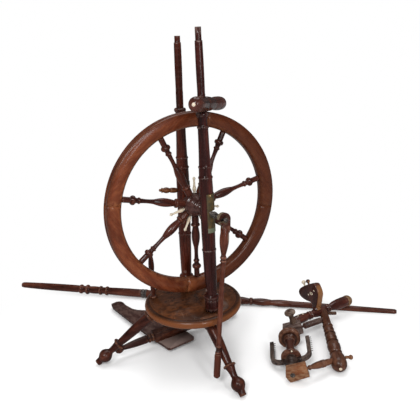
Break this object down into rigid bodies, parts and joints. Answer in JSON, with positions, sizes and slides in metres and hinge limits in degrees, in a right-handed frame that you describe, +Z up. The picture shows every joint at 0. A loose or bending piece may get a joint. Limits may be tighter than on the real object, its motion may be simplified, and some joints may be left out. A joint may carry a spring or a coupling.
{
  "type": "spinning wheel",
  "caption": "Upright treadle spinning wheel with turned posts, spoked wheel and swivel arm, its flyer head and long distaff taken off and laid on the floor.",
  "frame": {"origin": "on the table's top face, midway between the two wheel posts, below the middle of the axle", "axes": "+Z up; the axle runs along Y with the crank toward -Y; +X completes the right-handed frame and lies in the wheel's plane"},
  "size_m": [1.0496, 1.0366, 0.9023],
  "materials": {
    "table_wood": "worn red-brown stained turned wood",
    "post_wood": "polished red-brown stained turned wood",
    "leg_wood": "worn red-brown stained turned wood",
    "hub_wood": "polished orange-brown turned wood",
    "spoke_wood": "dark red-brown stained turned wood",
    "rim_wood": "orange-brown varnished wood",
    "footman_wood": "worn red-brown wood with grey patches",
    "grey_wood": "bare weathered grey wood",
    "arm_wood": "dark polished red-brown wood",
    "head_wood": "brown stained turned wood",
    "pale_wood": "bare light brown wood",
    "flyer_wood": "dark greyed wood",
    "bone": "aged cream bone",
    "brass": "tarnished sheet brass",
    "iron": "dark wrought iron"
  },
  "bodies": {
    "frame": {"table": "table_wood", "front_post": "post_wood", "back_post": "post_wood", "left_leg": "leg_wood", "front_leg": "leg_wood", "rear_leg": "leg_wood", "small_column": "leg_wood", "front_bearing": "brass", "back_bearing": "brass", "back_keeper": "leg_wood", "distaff_upper": "post_wood", "distaff_lower": "post_wood", "distaff_ferrule": "iron", "head_bar": "head_wood", "bar_button": "bone", "near_maiden": "head_wood", "far_maiden": "head_wood", "near_bearing": "pale_wood", "far_bearing": "grey_wood", "crossbar": "arm_wood", "crossbar_cap": "pale_wood", "crossbar_studs": "bone", "finial": "arm_wood", "finial_pegs": "bone", "bar_pin": "leg_wood", "thumb_peg": "leg_wood"},
    "wheel": {"axle": "iron", "hub": "hub_wood", "hub_pegs": "bone", "crank": "iron", "spoke_1": "spoke_wood", "spoke_2": "spoke_wood", "spoke_3": "spoke_wood", "spoke_4": "spoke_wood", "spoke_5": "spoke_wood", "spoke_6": "spoke_wood", "spoke_7": "spoke_wood", "felloe_1": "rim_wood", "felloe_2": "rim_wood", "felloe_3": "rim_wood", "felloe_4": "rim_wood"},
    "footman": {"footman": "footman_wood", "footman_foot": "footman_wood"},
    "treadle": {"treadle_bar": "leg_wood", "treadle_board": "grey_wood", "treadle_pins": "iron"},
    "arm": {"swivel_arm": "arm_wood", "arm_button": "bone"},
    "flyer": {"spindle": "iron", "flyer": "flyer_wood", "flyer_hooks": "iron", "whorl": "hub_wood"},
    "bobbin": {"bobbin": "hub_wood"},
    "tension_knob": {"tension_knob": "grey_wood"}
  },
  "joints": [
    {"name": "wheel_spin", "type": "hinge", "parent": "frame", "child": "wheel", "pos_m": [0, 0, 0.281], "axis": [0, 1, 0], "continuous": true},
    {"name": "footman_swing", "type": "hinge", "parent": "wheel", "child": "footman", "pos_m": [0.01957, -0.1205, 0.2697], "axis": [0, 1, 0], "continuous": true},
    {"name": "treadle_rock", "type": "hinge", "parent": "frame", "child": "treadle", "pos_m": [-0.25952, 0.08004, -0.14005], "axis": [0.9966, 0.082, 0], "range_deg": [-1.5, 6]},
    {"name": "arm_swivel", "type": "hinge", "parent": "frame", "child": "arm", "pos_m": [-0.00329, -0.06882, 0.55381], "axis": [-0.0059, 0.0166, 0.9998], "range_deg": [-110, 8]},
    {"name": "flyer_spin", "type": "hinge", "parent": "frame", "child": "flyer", "pos_m": [0.1375, -0.2606, -0.14695], "axis": [0.5672, 0.8221, 0.0494], "continuous": true},
    {"name": "bobbin_spin", "type": "hinge", "parent": "flyer", "child": "bobbin", "pos_m": [0.1375, -0.2606, -0.14695], "axis": [0.5672, 0.8221, 0.0494], "continuous": true},
    {"name": "knob_turn", "type": "hinge", "parent": "frame", "child": "tension_knob", "pos_m": [0.2588, -0.10812, -0.10953], "axis": [-0.2743, 0.132, 0.9526], "range_deg": [-180, 180]}
  ],
  "couplings": [
    {"joint": "footman_swing", "follows": "wheel_spin", "ratio": -1}
  ]
}
